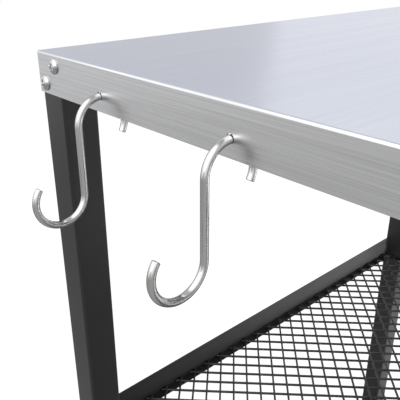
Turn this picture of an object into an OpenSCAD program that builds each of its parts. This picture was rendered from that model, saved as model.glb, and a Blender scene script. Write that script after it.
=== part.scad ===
// Grill prep cart: a folded stainless worktop with S-hooks on its front apron, on four square
// tube legs with two mesh shelves, a push handle at the right end and four swivel casters.
// Inside the modules X runs along the worktop from its left end, Y runs back from the front
// apron and Z runs up from the floor. placed() then moves each piece to the centre of the cart.

/* [Worktop] */
// Length of the worktop, left to right
table_l = 914; // [760:2:1300]
// Depth of the worktop, front to back
table_d = 610; // [450:2:800]
// Height of the worktop above the floor
table_h = 900; // [860:2:980]
// Thickness of the worktop sheet
sheet_t = 1.2; // [0.8:0.1:2]
// Height of the folded apron
apron_h = 31; // [30:1:44]
// Inside radius of the folds
fold_in_r = 0.6; // [0.3:0.1:2]
// Width of the return fold under each apron
return_w = 8; // [5:0.5:10]
// Width of the stiffening channels under the sheet
stiffener_w = 60; // [30:2:100]
// Depth of the stiffening channels
stiffener_h = 18; // [10:1:22]

/* [Legs] */
// Width of the square leg tube
leg_w = 30; // [28:1:40]
// Wall of the leg tube
leg_wall = 1.5; // [1:0.1:2.5]
// Outer corner radius of the leg tube
leg_r = 2.6; // [2.6:0.1:4]
// Gap between the apron and the leg
leg_gap = 0.15; // [0.1:0.05:1]

/* [Shelves] */
// From the worktop down to the rim of the upper shelf
shelf_drop = 366; // [240:2:400]
// From the rim of the upper shelf down to the rim of the lower shelf
shelf_pitch = 366; // [200:2:380]
// Height of the upright rim
rim_h = 30; // [24:1:50]
// Thickness of the angle rails
rim_t = 1.5; // [1:0.1:3]
// Width of the ledge that carries the mesh, over the rail
ledge_w = 11.5; // [10:0.5:25]
// Width of the ledge round each leg
corner_ledge_w = 4; // [3:0.5:10]
// Thickness of the corner brackets
bracket_t = 2; // [1.5:0.1:4]
// Thickness of the mesh
mesh_t = 2.8; // [1:0.1:3]
// Width of a strand of the mesh
strand_w = 2.4; // [1.5:0.1:4]
// Distance between the strands
strand_pitch = 50; // [44:1:90]
// Gap between the mesh and the rim
mesh_gap = 0.5; // [0.2:0.1:2]

/* [Hooks] */
// Diameter of the hook wire
wire_d = 5; // [3:0.5:6]
// Bend radius of both bows of a hook, to the middle of the wire
bow_r = 18.3; // [16:0.1:24]
// Straight stretch between the bows
shank_l = 46.5; // [20:0.5:90]
// How far each bow runs on past the level of its centre, in degrees
bow_past = 31; // [0:1:40]
// Clearance all round the wire in its hole in the apron
hook_hole_gap = 0.4; // [0.2:0.1:2]
// From the worktop down to the centre of a hook hole
hook_hole_drop = 20; // [14:0.1:22]
// From the end of the worktop to the first hook
hook_edge = 85; // [70:1:120]
// Distance between two hooks
hook_pitch = 124; // [100:1:150]

/* [Screws] */
// Diameter of the screws
screw_d = 5; // [4:0.5:5]
// Diameter of a screw head
head_d = 11.6; // [9:0.1:13]
// Height of a screw head
head_h = 3.1; // [2:0.1:4]
// Height of the straight rim of a screw head
head_rim_h = 0.8; // [0.4:0.1:1.2]
// Diameter of a weld nut
nut_d = 7; // [6.6:0.1:7.2]
// Length of a weld nut
nut_l = 5; // [3:0.5:7]
// Gap between the nut of the upper apron screw and the round inner corner of the leg
high_nut_gap = 0.1; // [0.05:0.05:1.5]
// Upper apron screw, below the worktop
high_screw_drop = 9; // [8:0.1:11]
// Lower apron screw, from the end of the worktop
low_screw_x = 10; // [8:0.1:12]
// Lower apron screw, below the worktop
low_screw_drop = 23.4; // [21:0.1:24]

/* [Handle] */
// Diameter of the handle tube
handle_d = 19; // [16:1:25]
// Wall of the handle tube
handle_wall = 1.5; // [1:0.1:2.5]
// From the legs out to the middle of the handle tube
handle_reach = 62; // [50:1:90]
// Bend radius of the handle, to the middle of the tube
handle_bend_r = 35; // [26:1:45]
// From the apron down to the middle of the handle
handle_drop = 42; // [40:1:90]
// Height of a handle plate
handle_plate_h = 64; // [60:1:80]
// Thickness of a handle plate
handle_plate_t = 3; // [2:0.5:5]
// Distance between the two screws of a handle plate
handle_screw_pitch = 44; // [42:1:48]

/* [Casters] */
// Diameter of the wheels
wheel_d = 75; // [60:1:80]
// Width of the tyres
tyre_w = 24; // [18:1:28]
// Diameter of the hub under the tyre
hub_d = 55; // [46:1:58]
// How far the axle trails behind the swivel axis
trail = 30; // [24:1:34]
// Thickness of the fork
fork_t = 2.5; // [2:0.1:4]
// Diameter of the fork crown
crown_d = 32; // [30:1:40]
// Diameter of the axle bolt
axle_d = 8; // [6:0.5:10]
// Diameter of the threaded stem
stem_d = 10; // [8:1:12]
// Diameter of the king pin
king_d = 8; // [6:0.5:9]
// Diameter of the bearing balls
ball_d = 3.9; // [3:0.1:5]
// Number of balls in a swivel
ball_count = 12; // [8:1:14]
// How far the brake lever turns, in degrees
brake_turn = 22; // [10:1:22]

/* [Hidden] */
$fn = 64;
// How far a cut runs past the solid it cuts
overrun = 1;
// Gap between parts that touch on curved faces and stay still
fit_gap = 0.05;
// Gap between a turning part and its pin
running_gap = 0.06;
// Gap between the flat faces of parts that turn on each other
side_gap = 0.3;

// The corners of the cart, and on which side each one lies: 1 is right, and 1 is back
corners = ["front_left", "front_right", "back_left", "back_right"];
corner_sides = [[0, 0], [1, 0], [0, 1], [1, 1]];
corner_ids = [0, 1, 2, 3];
hook_ids = [0, 1, 2, 3];
// The corners whose casters have a brake
braked_ids = [1, 3];

// Worktop
fold_r = fold_in_r + sheet_t;
sheet_bottom = table_h - sheet_t;
apron_bottom = table_h - apron_h;
// The place of each channel along the worktop
stiffener_place_shares = [1 / 3, 2 / 3];
stiffener_gap = 8;

// Legs
leg_inset = sheet_t + leg_gap;
leg_mid = leg_inset + leg_w / 2;
leg_inner = leg_inset + leg_w;
leg_in_r = leg_r - leg_wall;

// Shelves
function rim_top(shelf) = table_h - shelf_drop - shelf * shelf_pitch;
function rim_bottom(shelf) = rim_top(shelf) - rim_h;
bracket_face = leg_inner + bracket_t;
bracket_screw_edge = 0.7;
bracket_screw_gap = 1;
bracket_screw_share = 0.4;
strand_angle = 45;
mesh_l = table_l - 2 * (leg_inset + rim_t + mesh_gap);
mesh_d = table_d - 2 * (leg_inset + rim_t + mesh_gap);
mesh_notch = bracket_face - leg_inset - rim_t;
strand_len = mesh_l + mesh_d;
strands_each_way = ceil(strand_len / 2 * sin(strand_angle) / strand_pitch);

// Hooks
wire_r = wire_d / 2;
hook_y = sheet_t / 2;
hook_hole_z = table_h - hook_hole_drop;
hook_hole_d = wire_d + 2 * hook_hole_gap;
// The wire rests on the lower edge of its hole
hook_wire_z = hook_hole_z - hook_hole_gap + fit_gap;
upper_bow_z = hook_wire_z - bow_r;
lower_bow_z = upper_bow_z - shank_l;
lower_bow_y = hook_y - 2 * bow_r;
bow_sweep = 180 + bow_past;
hook_front = bow_r - lower_bow_y + wire_r;
hook_back = hook_y + bow_r + wire_r;
hook_xs = [
    hook_edge,
    hook_edge + hook_pitch,
    table_l - hook_edge - hook_pitch,
    table_l - hook_edge
];

// Screws
screw_r = screw_d / 2;
hole_gap = 0.3;
screw_end = 1;
high_screw_x = leg_inner - leg_wall - leg_in_r - nut_d / 2 - high_nut_gap;
apron_screw_spots = [[high_screw_x, high_screw_drop], [low_screw_x, low_screw_drop]];
apron_screw_l = leg_inset + leg_wall + nut_l + screw_end;
shelf_screw_l = bracket_t + leg_wall + nut_l + screw_end;
handle_screw_l = handle_plate_t + leg_wall + nut_l + screw_end;
recess_w = 1.5;
recess_l = 6.2;
recess_depth = 1.7;

// Handle
handle_r = handle_d / 2;
handle_in_r = handle_r - handle_wall;
handle_z = apron_bottom - handle_drop;
handle_plate_w = leg_w - leg_r;
handle_x = table_l - leg_inset;
handle_run = table_d - 2 * leg_mid;

// Casters, from the floor up
wheel_r = wheel_d / 2;
hub_r = hub_d / 2;
axle_r = axle_d / 2;
stem_r = stem_d / 2;
king_r = king_d / 2;
crown_r = crown_d / 2;
crown_gap = 5.5;
crown_bottom = wheel_d + crown_gap;
crown_top = crown_bottom + fork_t;
race_bottom = crown_top + ball_d + 2 * fit_gap;
race_t = 2.5;
race_top = race_bottom + race_t;
race_skirt_t = 1.2;
collar_h = 5;
collar_width = 17;
collar_top = race_top + collar_h;
insert_flange_t = 3;
leg_bottom = collar_top + insert_flange_t;
insert_h = 28;
insert_gap = 0.2;
stem_l = 24;
rivet_r = king_r + 2.5;
rivet_h = 2.4;
ball_ring_r = (crown_r - race_skirt_t + king_r) / 2;
cheek_clear = 1.5;
cheek_in = tyre_w / 2 + cheek_clear;
cheek_out = cheek_in + fork_t;
axle_boss_r = axle_r + 5;
bush_r = axle_r + 2;
axle_hex = 1.625 * axle_d;
axle_head_h = 4;
axle_nut_h = 5;
axle_end = 1;
hub_rim_t = 4.5;
hub_rim_w = tyre_w - 2;
hub_web_t = 6;
hub_boss_r = bush_r + 4;
tyre_edge_r = 4;
axle_reach = cheek_out + axle_nut_h + axle_end;
crown_front = 10;
crown_back = 16;
cheek_drop = 5;
touch_share = 0.99;

// Brake: its pivot lies behind the tyre's top, clear of the wheel
brake_pin_r = 2.5;
brake_hub_r = 5;
ear_r = 6.5;
brake_angle = 64;
brake_clear = 1.6;
brake_radius = wheel_r + brake_hub_r + brake_clear;
brake_x = trail + brake_radius * cos(brake_angle);
brake_z = wheel_r + brake_radius * sin(brake_angle);
pedal_t = 3;
pedal_l = 30;
pedal_rise = 6;
pedal_w = tyre_w;
shoe_reach = 9;
shoe_t = 3.5;
shoe_corner_r = norm([shoe_reach, shoe_t / 2]);
// Between the line to the axle and the shoe's corner when the brake is on
shoe_on_angle = acos(
    (pow(brake_radius, 2) + pow(shoe_corner_r, 2) - pow(wheel_r + side_gap, 2))
    / (2 * brake_radius * shoe_corner_r)
);
// The shoe hangs under the lever at this angle when the brake is off
shoe_angle = brake_angle - 180 + shoe_on_angle + brake_turn + atan(shoe_t / 2 / shoe_reach);
pin_head_r = 4;
pin_head_h = 1.5;

// The cart's box, and the middle that the cart is placed by
box_left = min(0, leg_mid - crown_r);
pedal_x = table_l - leg_mid + brake_x + pedal_l;
box_right = max(handle_x + handle_reach + handle_r, pedal_x);
box_front = hook_front;
box_back = max(table_d + head_h, table_d - leg_mid + axle_reach);
mid_x = (box_left + box_right) / 2;
mid_y = (box_back - box_front) / 2;

// Moves a piece from the worktop's front left corner to the middle of the cart
module placed() {
    translate([-mid_x, -mid_y, 0]) children();
}

// Turns and moves what is drawn for the front left corner to corner i
module at_corner(i) {
    translate([corner_sides[i][0] * table_l, corner_sides[i][1] * table_d, 0])
        mirror([corner_sides[i][0], 0, 0])
            mirror([0, corner_sides[i][1], 0])
                children();
}

// Moves a caster piece, drawn round the swivel axis, under leg i without turning it over
module at_caster(i) {
    side = corner_sides[i];
    x = side[0] == 1 ? table_l - leg_mid : leg_mid;
    y = side[1] == 1 ? table_d - leg_mid : leg_mid;
    translate([x, y, 0]) children();
}

// A rectangle about the origin with round corners
module rounded_rect(w, d, r) {
    square([w - 2 * r, d], center = true);
    square([w, d - 2 * r], center = true);
    for (sx = [-1, 1], sy = [-1, 1])
        translate([sx * (w / 2 - r), sy * (d / 2 - r)]) circle(r = r);
}

// The side view of a sheet folded down at both ends: square below, round above, from y = 0 down
module folded_view(w, h, r) {
    translate([-w / 2, -h]) square([w, h - r]);
    translate([r - w / 2, -h]) square([w - 2 * r, h]);
    for (sx = [-1, 1])
        translate([sx * (w / 2 - r), -r]) circle(r = r);
}

// A block under z = 0, about the origin, with the top edges and the upright corners folded round
module folded_block(l, d, h, r) {
    intersection() {
        translate([0, 0, -h]) linear_extrude(h) rounded_rect(l, d, r);
        rotate([90, 0, 0]) linear_extrude(d, center = true) folded_view(l, h, r);
        rotate([90, 0, 90]) linear_extrude(l, center = true) folded_view(d, h, r);
    }
}

// The return fold under one apron, drawn along X from a to b with its outer edge at y = 0
module apron_return(a, b) {
    translate([a, 0, 0]) cube([b - a, sheet_t / 2 + return_w, sheet_t]);
}

module tabletop() {
    color("#d4d6da") placed() difference() {
        union() {
            translate([table_l / 2, table_d / 2, table_h]) difference() {
                folded_block(table_l, table_d, apron_h, fold_r);
                translate([0, 0, -sheet_t])
                    folded_block(
                        table_l - 2 * sheet_t,
                        table_d - 2 * sheet_t,
                        apron_h,
                        fold_in_r
                    );
            }
            translate([0, sheet_t / 2, apron_bottom])
                apron_return(leg_inner + stiffener_gap, table_l - leg_inner - stiffener_gap);
            translate([table_l, table_d - sheet_t / 2, apron_bottom]) rotate(180)
                apron_return(leg_inner + stiffener_gap, table_l - leg_inner - stiffener_gap);
            translate([table_l - sheet_t / 2, 0, apron_bottom]) rotate(90)
                apron_return(leg_inner + stiffener_gap, table_d - leg_inner - stiffener_gap);
            translate([sheet_t / 2, table_d, apron_bottom]) rotate(-90)
                apron_return(leg_inner + stiffener_gap, table_d - leg_inner - stiffener_gap);
        }
        for (x = hook_xs)
            translate([x, -overrun, hook_hole_z]) rotate([-90, 0, 0])
                cylinder(h = sheet_t + 2 * overrun, d = hook_hole_d);
        for (i = corner_ids) at_corner(i)
            for (spot = apron_screw_spots)
                translate([spot[0], -overrun, table_h - spot[1]]) rotate([-90, 0, 0])
                    cylinder(h = sheet_t + 2 * overrun, r = screw_r + hole_gap);
    }
}

// A channel of folded sheet under the worktop, open below, clear of the hooks' inner ends
module stiffener(k) {
    run = table_d - 2 * (hook_back + stiffener_gap);
    color("#b9bbbe") placed()
        translate([table_l * stiffener_place_shares[k], table_d / 2, sheet_bottom - stiffener_h / 2])
            difference() {
                cube([stiffener_w, run, stiffener_h], center = true);
                translate([0, 0, -sheet_t])
                    cube([stiffener_w - 2 * sheet_t, run + 2 * overrun, stiffener_h], center = true);
            }
}

// One bow of a hook, bent from the end of its shank at angle 0 round to its tip
module bow() {
    rotate_extrude(angle = bow_sweep) translate([bow_r, 0]) circle(r = wire_r);
}

// A hook in its own plane: +X of the sketch is the back of the cart and +Y points up
module hook(i) {
    color("#dfe1e4") placed() translate([hook_xs[i], hook_y, 0]) rotate([90, 0, 90]) {
        translate([0, upper_bow_z]) mirror([1, 0, 0]) bow();
        translate([-bow_r, lower_bow_z]) rotate([-90, 0, 0])
            cylinder(h = shank_l, r = wire_r);
        translate([-2 * bow_r, lower_bow_z]) mirror([0, 1, 0]) bow();
    }
}

// A domed cross-recess screw: the underside of its head lies at z = 0 and the head points up
module screw(l) {
    dome_h = head_h - head_rim_h;
    dome_r = (pow(head_d / 2, 2) + pow(dome_h, 2)) / (2 * dome_h);
    difference() {
        union() {
            rotate_extrude() intersection() {
                translate([0, head_h - dome_r]) circle(r = dome_r, $fn = 128);
                square([head_d / 2, head_h]);
            }
            translate([0, 0, -l]) cylinder(h = l + head_rim_h / 2, r = screw_r);
        }
        for (turn = [0, 90])
            translate([0, 0, head_h + overrun / 2 - recess_depth / 2]) rotate(turn)
                cube([recess_l, recess_w, recess_depth + overrun], center = true);
    }
}

// A round weld nut whose outer face lies at z = 0, with its body below
module weld_nut() {
    translate([0, 0, -nut_l]) difference() {
        cylinder(h = nut_l, d = nut_d);
        translate([0, 0, -overrun]) cylinder(h = nut_l + 2 * overrun, r = screw_r + fit_gap);
    }
}

// Puts its children at the screws of one apron corner, at depth y, with +Z pointing out
module at_apron_screws(y) {
    for (spot = apron_screw_spots)
        translate([spot[0], y, table_h - spot[1]]) rotate([90, 0, 0]) children();
}

// Puts its children at both bracket screws of one shelf corner, side by side behind the rim and
// well above the mesh, at distance a from the end of the worktop, with +Z pointing off the leg
module at_bracket_screws(shelf, a) {
    first_y = leg_inset + rim_t + bracket_screw_edge + head_d / 2;
    z = rim_top(shelf) - bracket_screw_share * rim_h;
    for (n = [0, 1])
        translate([a, first_y + n * (head_d + bracket_screw_gap), z])
            rotate([0, 90, 0]) children();
}

// Puts its children at the two screws of one handle plate, at distance a inside the outer face of
// the leg, with +Z pointing out; drawn for the front left corner, so it is mirrored to the right
module at_handle_screws(a) {
    for (s = [-1, 1])
        translate([leg_inset + a, leg_mid, handle_z + s * handle_screw_pitch / 2])
            rotate([0, -90, 0]) children();
}

module apron_screws() {
    color("#e4e6e8") placed() for (i = corner_ids) at_corner(i)
        at_apron_screws(0) screw(apron_screw_l);
}

module apron_nuts() {
    color("#8f9194") placed() for (i = corner_ids) at_corner(i)
        at_apron_screws(leg_inset + leg_wall) weld_nut();
}

module leg(i) {
    color("#2c2c2e") placed() at_corner(i) difference() {
        translate([leg_mid, leg_mid, leg_bottom]) linear_extrude(sheet_bottom - leg_bottom)
            difference() {
                rounded_rect(leg_w, leg_w, leg_r);
                rounded_rect(leg_w - 2 * leg_wall, leg_w - 2 * leg_wall, leg_in_r);
            }
        at_apron_screws(leg_inset - overrun)
            translate([0, 0, -leg_wall - 2 * overrun])
                cylinder(h = leg_wall + 2 * overrun, r = screw_r + hole_gap);
        for (shelf = [0, 1])
            at_bracket_screws(shelf, leg_inner - leg_wall - overrun)
                cylinder(h = leg_wall + 2 * overrun, r = screw_r + hole_gap);
        if (corner_sides[i][0] == 1)
            at_handle_screws(leg_wall + overrun)
                cylinder(h = leg_wall + 2 * overrun, r = screw_r + hole_gap);
    }
}

// The plastic plugs in the leg ends that take the caster stems
module leg_inserts() {
    plug_w = leg_w - 2 * (leg_wall + insert_gap);
    color("#1d1d1f") placed() for (i = corner_ids) at_corner(i)
        translate([leg_mid, leg_mid, leg_bottom]) difference() {
            union() {
                translate([0, 0, -insert_flange_t]) linear_extrude(insert_flange_t)
                    rounded_rect(leg_w, leg_w, leg_r);
                linear_extrude(insert_h) rounded_rect(plug_w, plug_w, leg_in_r);
            }
            translate([0, 0, -insert_flange_t - overrun])
                cylinder(h = insert_flange_t + insert_h + 2 * overrun, r = stem_r + fit_gap);
        }
}

// One angle rail drawn along X between two legs, with its rim at the front
module rail(l) {
    translate([leg_inner, leg_inset, 0]) cube([l - 2 * leg_inner, rim_t, rim_h]);
}

// The flat ledge in plan: everything inside the rims, less the legs and the open middle
module ledge_plan() {
    difference() {
        translate([leg_inset, leg_inset])
            square([table_l - 2 * leg_inset, table_d - 2 * leg_inset]);
        for (i = corner_ids) at_corner(i) square([leg_inner, leg_inner]);
        difference() {
            translate([leg_inset + ledge_w, leg_inset + ledge_w])
                square([table_l - 2 * (leg_inset + ledge_w), table_d - 2 * (leg_inset + ledge_w)]);
            for (i = corner_ids) at_corner(i)
                square([bracket_face + corner_ledge_w, bracket_face + corner_ledge_w]);
        }
    }
}

module shelf_frame(shelf) {
    color("#333336") placed() translate([0, 0, rim_bottom(shelf)]) difference() {
        union() {
            linear_extrude(rim_t) ledge_plan();
            rail(table_l);
            translate([table_l, table_d, 0]) rotate(180) rail(table_l);
            translate([table_l, 0, 0]) rotate(90) rail(table_d);
            translate([0, table_d, 0]) rotate(-90) rail(table_d);
            for (i = corner_ids) at_corner(i) {
                translate([leg_inner, leg_inset, 0])
                    cube([bracket_t, leg_w, rim_h]);
            }
        }
        translate([0, 0, -rim_bottom(shelf)]) for (i = corner_ids) at_corner(i)
            at_bracket_screws(shelf, leg_inner - overrun)
                cylinder(h = bracket_t + 2 * overrun, r = screw_r + hole_gap);
    }
}

// The mesh in plan, drawn inwards by inset from its outer edge, with a notch round each bracket
module mesh_plan(inset) {
    notch = mesh_notch + inset;
    difference() {
        square([mesh_l - 2 * inset, mesh_d - 2 * inset], center = true);
        for (sx = [-1, 1], sy = [-1, 1])
            translate([sx * mesh_l / 2, sy * mesh_d / 2])
                square([2 * notch, 2 * notch], center = true);
    }
}

module shelf_mesh(shelf) {
    color("#3a3a3c") placed()
        translate([table_l / 2, table_d / 2, rim_bottom(shelf) + rim_t]) linear_extrude(mesh_t) {
            intersection() {
                mesh_plan(0);
                for (side = [-1, 1], n = [-strands_each_way:strands_each_way])
                    rotate(side * strand_angle) translate([0, n * strand_pitch])
                        square([strand_len, strand_w], center = true);
            }
            difference() {
                mesh_plan(0);
                mesh_plan(strand_w);
            }
        }
}

module shelf_screws() {
    color("#5a5c60") placed() for (i = corner_ids) at_corner(i)
        for (shelf = [0, 1]) at_bracket_screws(shelf, bracket_face) screw(shelf_screw_l);
}

module shelf_nuts() {
    color("#8f9194") placed() for (i = corner_ids) at_corner(i)
        for (shelf = [0, 1]) at_bracket_screws(shelf, leg_inner - leg_wall) weld_nut();
}

// The bent bar of the handle with radius r, drawn out from the legs along +X, its ends run back
// by reach_back
module handle_bar(r, reach_back) {
    straight = handle_reach - handle_bend_r;
    for (side = [0, 1])
        translate([0, side * handle_run, 0]) mirror([0, side, 0]) {
            translate([-reach_back, 0, 0]) rotate([0, 90, 0])
                cylinder(h = straight + reach_back, r = r);
            translate([straight, handle_bend_r, 0]) rotate(-90)
                rotate_extrude(angle = 90) translate([handle_bend_r, 0]) circle(r = r);
        }
    translate([handle_reach, handle_bend_r, 0]) rotate([-90, 0, 0])
        cylinder(h = handle_run - 2 * handle_bend_r, r = r);
}

module side_handle() {
    color("#2a2a2c") placed() difference() {
        union() {
            translate([handle_x, leg_mid, handle_z]) handle_bar(handle_r, 0);
            for (side = [0, 1])
                translate([handle_x, leg_mid + side * handle_run, handle_z])
                    rotate([90, 0, 90]) linear_extrude(handle_plate_t)
                        rounded_rect(handle_plate_w, handle_plate_h, leg_r);
        }
        translate([handle_x, leg_mid, handle_z]) handle_bar(handle_in_r, overrun);
        for (i = braked_ids) at_corner(i) at_handle_screws(overrun)
            cylinder(h = handle_plate_t + 2 * overrun, r = screw_r + hole_gap);
    }
}

module handle_screws() {
    color("#e4e6e8") placed() for (i = braked_ids) at_corner(i)
        at_handle_screws(-handle_plate_t) screw(handle_screw_l);
}

module handle_nuts() {
    color("#8f9194") placed() for (i = braked_ids) at_corner(i)
        at_handle_screws(leg_wall) weld_nut();
}

// The threaded stem with its hexagon collar, the upper race with a dust skirt, and the king pin
// that is riveted over below the fork crown
module caster_stem(i) {
    color("#c3c5c8") placed() at_caster(i) {
        translate([0, 0, collar_top - overrun]) cylinder(h = stem_l + overrun, r = stem_r);
        translate([0, 0, race_top])
            cylinder(h = collar_h, r = collar_width / 2 / cos(30), $fn = 6);
        translate([0, 0, race_bottom]) cylinder(h = race_t, r = crown_r);
        translate([0, 0, crown_top + side_gap]) difference() {
            cylinder(h = race_top - crown_top - side_gap, r = crown_r);
            translate([0, 0, -overrun])
                cylinder(h = race_top - crown_top + overrun, r = crown_r - race_skirt_t);
        }
        translate([0, 0, crown_bottom - side_gap - rivet_h / 2])
            cylinder(h = race_top - crown_bottom, r = king_r);
        translate([0, 0, crown_bottom - side_gap - rivet_h]) cylinder(h = rivet_h, r = rivet_r);
    }
}

module caster_balls(i) {
    color("#d8dadd") placed() at_caster(i)
        for (n = [0:ball_count - 1])
            rotate(n * 360 / ball_count)
                translate([ball_ring_r, 0, crown_top + fit_gap + ball_d / 2])
                    sphere(d = ball_d);
}

// The point where the tangent from point p touches the circle about c, drawn a little inside
// radius r so that the flat edge crosses the round one
function touch(p, c, r, side) =
    let (
        v = p - c,
        inside_r = r * touch_share,
        a = atan2(v[1], v[0]) + side * acos(inside_r / norm(v))
    )
    c + inside_r * [cos(a), sin(a)];

// One cheek of the fork seen from the side, with the swivel axis at x = 0 and the floor at y = 0
module cheek_view(braked) {
    axle = [trail, wheel_r];
    pivot = [brake_x, brake_z];
    front_top = [-crown_front, crown_top];
    front_low = [-crown_front, crown_bottom - cheek_drop];
    back_top = [crown_back, crown_top];
    polygon([
        front_top,
        back_top,
        touch(back_top, axle, axle_boss_r, -1),
        axle,
        touch(front_low, axle, axle_boss_r, 1),
        front_low
    ]);
    translate(axle) circle(r = axle_boss_r);
    if (braked) {
        ear_top = [crown_back, crown_bottom];
        ear_root = (back_top + axle) / 2;
        polygon([
            ear_top,
            touch(ear_top, pivot, ear_r, -1),
            pivot,
            touch(ear_root, pivot, ear_r, 1),
            ear_root
        ]);
        translate(pivot) circle(r = ear_r);
    }
}

// The pressed steel fork: a crown on the king pin and two cheeks that carry the axle
module caster_fork(i) {
    braked = corner_sides[i][0] == 1;
    color("#b4b6ba") placed() at_caster(i) difference() {
        union() {
            translate([0, 0, crown_bottom]) cylinder(h = fork_t, r = crown_r);
            translate([-crown_front, -cheek_out, crown_bottom])
                cube([crown_front + crown_back, 2 * cheek_out, fork_t]);
            for (side = [-1, 1])
                translate([0, side * (cheek_in + fork_t / 2), 0]) rotate([90, 0, 0])
                    linear_extrude(fork_t, center = true) cheek_view(braked);
        }
        translate([0, 0, crown_bottom - overrun])
            cylinder(h = fork_t + 2 * overrun, r = king_r + running_gap);
        along_y(trail, wheel_r)
            cylinder(h = 2 * (cheek_out + overrun), r = axle_r + fit_gap, center = true);
        if (braked) along_y(brake_x, brake_z)
            cylinder(h = 2 * (cheek_out + overrun), r = brake_pin_r + fit_gap, center = true);
    }
}

// Turns what is drawn about Z to lie along Y through the point x, z
module along_y(x, z) {
    translate([x, 0, z]) rotate([90, 0, 0]) children();
}

// The axle bolt with its head at the front, and its nut, as two solids
module caster_axle(i) {
    color("#c3c5c8") placed() at_caster(i) along_y(trail, wheel_r) {
        hex_r = axle_hex / 2 / cos(30);
        translate([0, 0, cheek_out]) cylinder(h = axle_head_h, r = hex_r, $fn = 6);
        translate([0, 0, -axle_reach])
            cylinder(h = axle_reach + cheek_out + axle_head_h / 2, r = axle_r);
        translate([0, 0, -cheek_out - axle_nut_h]) difference() {
            cylinder(h = axle_nut_h, r = hex_r, $fn = 6);
            translate([0, 0, -overrun])
                cylinder(h = axle_nut_h + 2 * overrun, r = axle_r + fit_gap);
        }
    }
}

// The steel sleeve between the cheeks, on which the wheel turns
module caster_bush(i) {
    color("#9a9ca0") placed() at_caster(i) along_y(trail, wheel_r) difference() {
        cylinder(h = 2 * cheek_in, r = bush_r, center = true);
        cylinder(h = 2 * (cheek_in + overrun), r = axle_r + fit_gap, center = true);
    }
}

module caster_hub(i) {
    bore_r = bush_r + running_gap;
    boss_w = 2 * (cheek_in - side_gap);
    color("#8a8c90") placed() at_caster(i) along_y(trail, wheel_r) rotate_extrude() {
        translate([bore_r, -boss_w / 2]) square([hub_boss_r - bore_r, boss_w]);
        translate([bore_r, -hub_web_t / 2]) square([hub_r - bore_r, hub_web_t]);
        translate([hub_r - hub_rim_t, -hub_rim_w / 2]) square([hub_rim_t, hub_rim_w]);
    }
}

module caster_tyre(i) {
    inner_r = hub_r + fit_gap;
    depth = wheel_r - inner_r;
    color("#3b3c3f") placed() at_caster(i) along_y(trail, wheel_r) rotate_extrude() {
        translate([inner_r, -tyre_w / 2]) square([depth - tyre_edge_r, tyre_w]);
        translate([inner_r, tyre_edge_r - tyre_w / 2]) square([depth, tyre_w - 2 * tyre_edge_r]);
        for (s = [-1, 1])
            translate([wheel_r - tyre_edge_r, s * (tyre_w / 2 - tyre_edge_r)])
                circle(r = tyre_edge_r);
    }
}

// The brake lever: a sleeve on its pin, a pedal behind it and a shoe that comes down on the tyre
module brake_lever(i) {
    sleeve_w = 2 * (cheek_in - side_gap);
    color("#c0392b") placed() at_caster(i) along_y(brake_x, brake_z) difference() {
        union() {
            cylinder(h = sleeve_w, r = brake_hub_r, center = true);
            linear_extrude(pedal_w, center = true) {
                polygon([
                    [0, brake_hub_r],
                    [0, brake_hub_r - pedal_t],
                    [pedal_l, pedal_rise + brake_hub_r - pedal_t],
                    [pedal_l, pedal_rise + brake_hub_r]
                ]);
                rotate(shoe_angle) translate([0, -shoe_t / 2]) square([shoe_reach, shoe_t]);
            }
        }
        cylinder(h = sleeve_w + 2 * overrun, r = brake_pin_r + running_gap, center = true);
    }
}

module brake_pin(i) {
    color("#c3c5c8") placed() at_caster(i) along_y(brake_x, brake_z) {
        cylinder(h = 2 * (cheek_out + pin_head_h / 2), r = brake_pin_r, center = true);
        for (s = [-1, 1])
            translate([0, 0, s * (cheek_out + pin_head_h / 2)])
                cylinder(h = pin_head_h, r = pin_head_r, center = true);
    }
}

tabletop();
stiffener(0);  // stiffener_left
stiffener(1);  // stiffener_right
for (i = hook_ids)
    hook(i);
apron_screws();
apron_nuts();
for (i = corner_ids)
    leg(i);
leg_inserts();
shelf_frame(0);  // upper_shelf_frame
shelf_mesh(0);  // upper_shelf_mesh
shelf_frame(1);  // lower_shelf_frame
shelf_mesh(1);  // lower_shelf_mesh
shelf_screws();
shelf_nuts();
side_handle();
handle_screws();
handle_nuts();
for (i = corner_ids) {
    caster_stem(i);
    caster_balls(i);
    caster_fork(i);
    caster_axle(i);
    caster_bush(i);
    caster_hub(i);
    caster_tyre(i);
}
for (i = braked_ids) {
    brake_lever(i);
    brake_pin(i);
}
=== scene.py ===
"""Looks of the grill prep cart: a folded stainless worktop with S-hooks on its apron, black legs
with two mesh shelves, a push handle and four swivel casters. Everything is in metres, in the
frame of the cart."""

import bmesh
import bpy
import numpy as np
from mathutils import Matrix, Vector


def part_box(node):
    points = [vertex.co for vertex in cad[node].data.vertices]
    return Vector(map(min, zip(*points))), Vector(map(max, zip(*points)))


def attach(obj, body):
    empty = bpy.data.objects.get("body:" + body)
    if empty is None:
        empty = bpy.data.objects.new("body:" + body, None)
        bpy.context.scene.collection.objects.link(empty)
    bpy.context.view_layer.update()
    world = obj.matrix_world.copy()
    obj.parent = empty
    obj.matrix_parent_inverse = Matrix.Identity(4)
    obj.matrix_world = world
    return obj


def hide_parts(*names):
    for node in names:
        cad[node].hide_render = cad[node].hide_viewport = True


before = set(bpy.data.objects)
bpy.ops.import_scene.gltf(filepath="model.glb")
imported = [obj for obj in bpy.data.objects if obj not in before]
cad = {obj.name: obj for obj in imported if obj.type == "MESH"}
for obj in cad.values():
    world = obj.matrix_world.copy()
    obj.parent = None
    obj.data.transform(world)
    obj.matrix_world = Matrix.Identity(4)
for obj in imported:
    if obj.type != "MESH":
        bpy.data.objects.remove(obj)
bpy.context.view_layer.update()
corners = ["front_left", "front_right", "back_left", "back_right"]


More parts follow.
